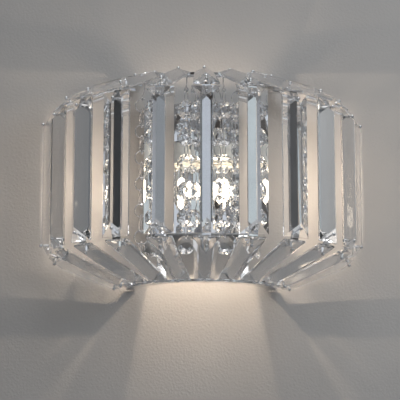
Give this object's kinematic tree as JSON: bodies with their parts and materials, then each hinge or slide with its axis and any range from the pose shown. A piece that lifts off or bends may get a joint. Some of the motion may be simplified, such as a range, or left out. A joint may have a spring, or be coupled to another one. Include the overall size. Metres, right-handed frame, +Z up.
{
  "type": "crystal wall sconce",
  "caption": "Half-drum wall sconce of faceted crystal bars on bent chrome ribs, with octagon bead strings and capsule lamps before a mirror-polished box.",
  "frame": {"origin": "middle of the wall bracket's back face, between its two wall screw holes, on the wall", "axes": "+Z up, -Y out of the wall into the room, +X to the right for someone who faces the wall"},
  "size_m": [0.307, 0.155, 0.2004],
  "materials": {
    "crystal": "polished",
    "bead_crystal": "polished",
    "frame_chrome": "polished",
    "pin_chrome": "polished",
    "screw_chrome": "polished",
    "plate_mirror": "mirror polished",
    "bracket_zinc": "zinc plated",
    "grommet_rubber": "matt",
    "holder_ceramic": "matt",
    "lamp_glass": "clear, lit",
    "lead_sleeve": "silicone sleeve",
    "terminal_plastic": "moulded"
  },
  "bodies": {
    "fitting": {"frame_ribs": "frame_chrome", "top_ring": "frame_chrome", "bottom_ring": "frame_chrome", "frame_arms": "frame_chrome", "backplate": "plate_mirror", "wall_bracket": "bracket_zinc", "cable_grommet": "grommet_rubber", "arm_screws": "screw_chrome", "carrier_screws": "screw_chrome", "lamp_carrier": "frame_chrome", "lampholder_left": "holder_ceramic", "lampholder_right": "holder_ceramic", "lamp_leads": "lead_sleeve", "terminal_block": "terminal_plastic", "upper_pins": "pin_chrome", "vertical_pins": "pin_chrome", "lower_pins": "pin_chrome", "upper_prism_01": "crystal", "upper_prism_02": "crystal", "upper_prism_03": "crystal", "upper_prism_04": "crystal", "upper_prism_05": "crystal", "upper_prism_06": "crystal", "upper_prism_07": "crystal", "upper_prism_08": "crystal", "upper_prism_09": "crystal", "upper_prism_10": "crystal", "upper_prism_11": "crystal", "vertical_prism_01": "crystal", "vertical_prism_02": "crystal", "vertical_prism_03": "crystal", "vertical_prism_04": "crystal", "vertical_prism_05": "crystal", "vertical_prism_06": "crystal", "vertical_prism_07": "crystal", "vertical_prism_08": "crystal", "vertical_prism_09": "crystal", "vertical_prism_10": "crystal", "vertical_prism_11": "crystal", "lower_prism_01": "crystal", "lower_prism_02": "crystal", "lower_prism_03": "crystal", "lower_prism_04": "crystal", "lower_prism_05": "crystal", "lower_prism_06": "crystal", "lower_prism_07": "crystal", "lower_prism_08": "crystal", "lower_prism_09": "crystal", "lower_prism_10": "crystal", "lower_prism_11": "crystal"},
    "bead_string_1": {"bead_string_1": "bead_crystal"},
    "bead_string_2": {"bead_string_2": "bead_crystal"},
    "bead_string_3": {"bead_string_3": "bead_crystal"},
    "bead_string_4": {"bead_string_4": "bead_crystal"},
    "bead_string_5": {"bead_string_5": "bead_crystal"},
    "bead_string_6": {"bead_string_6": "bead_crystal"},
    "lamp_left": {"lamp_left": "lamp_glass"},
    "lamp_right": {"lamp_right": "lamp_glass"},
    "thumb_screw_top": {"thumb_screw_top": "screw_chrome"},
    "thumb_screw_bottom": {"thumb_screw_bottom": "screw_chrome"}
  },
  "joints": [
    {"name": "bead_string_1_swing", "type": "hinge", "parent": "fitting", "child": "bead_string_1", "pos_m": [-0.05769, -0.02331, 0.08], "axis": [-0.3746, 0.9272, 0], "range_deg": [0, 20]},
    {"name": "bead_string_2_swing", "type": "hinge", "parent": "fitting", "child": "bead_string_2", "pos_m": [-0.04624, -0.04164, 0.08], "axis": [-0.6691, 0.7431, 0], "range_deg": [-1, 20]},
    {"name": "bead_string_3_swing", "type": "hinge", "parent": "fitting", "child": "bead_string_3", "pos_m": [-0.01611, -0.0601, 0.08], "axis": [-0.9659, 0.2588, 0], "range_deg": [-3, 20]},
    {"name": "bead_string_4_swing", "type": "hinge", "parent": "fitting", "child": "bead_string_4", "pos_m": [0.01923, -0.05918, 0.08], "axis": [-0.9511, -0.309, 0], "range_deg": [-3, 20]},
    {"name": "bead_string_5_swing", "type": "hinge", "parent": "fitting", "child": "bead_string_5", "pos_m": [0.03205, -0.05334, 0.08], "axis": [-0.8572, -0.515, 0], "range_deg": [-1, 20]},
    {"name": "bead_string_6_swing", "type": "hinge", "parent": "fitting", "child": "bead_string_6", "pos_m": [0.05159, -0.0348, 0.08], "axis": [-0.5592, -0.829, 0], "range_deg": [-0.5, 20]},
    {"name": "lamp_left_pull", "type": "slide", "parent": "fitting", "child": "lamp_left", "axis": [0, 0, -1], "range_m": [0, 0.015]},
    {"name": "lamp_right_pull", "type": "slide", "parent": "fitting", "child": "lamp_right", "axis": [0, 0, -1], "range_m": [0, 0.015]},
    {"name": "thumb_screw_top_turn", "type": "hinge", "parent": "fitting", "child": "thumb_screw_top", "pos_m": [0, -0.011, 0.064], "axis": [0, 0, 1], "continuous": true},
    {"name": "thumb_screw_bottom_turn", "type": "hinge", "parent": "fitting", "child": "thumb_screw_bottom", "pos_m": [0, -0.011, -0.064], "axis": [0, 0, 1], "continuous": true}
  ]
}
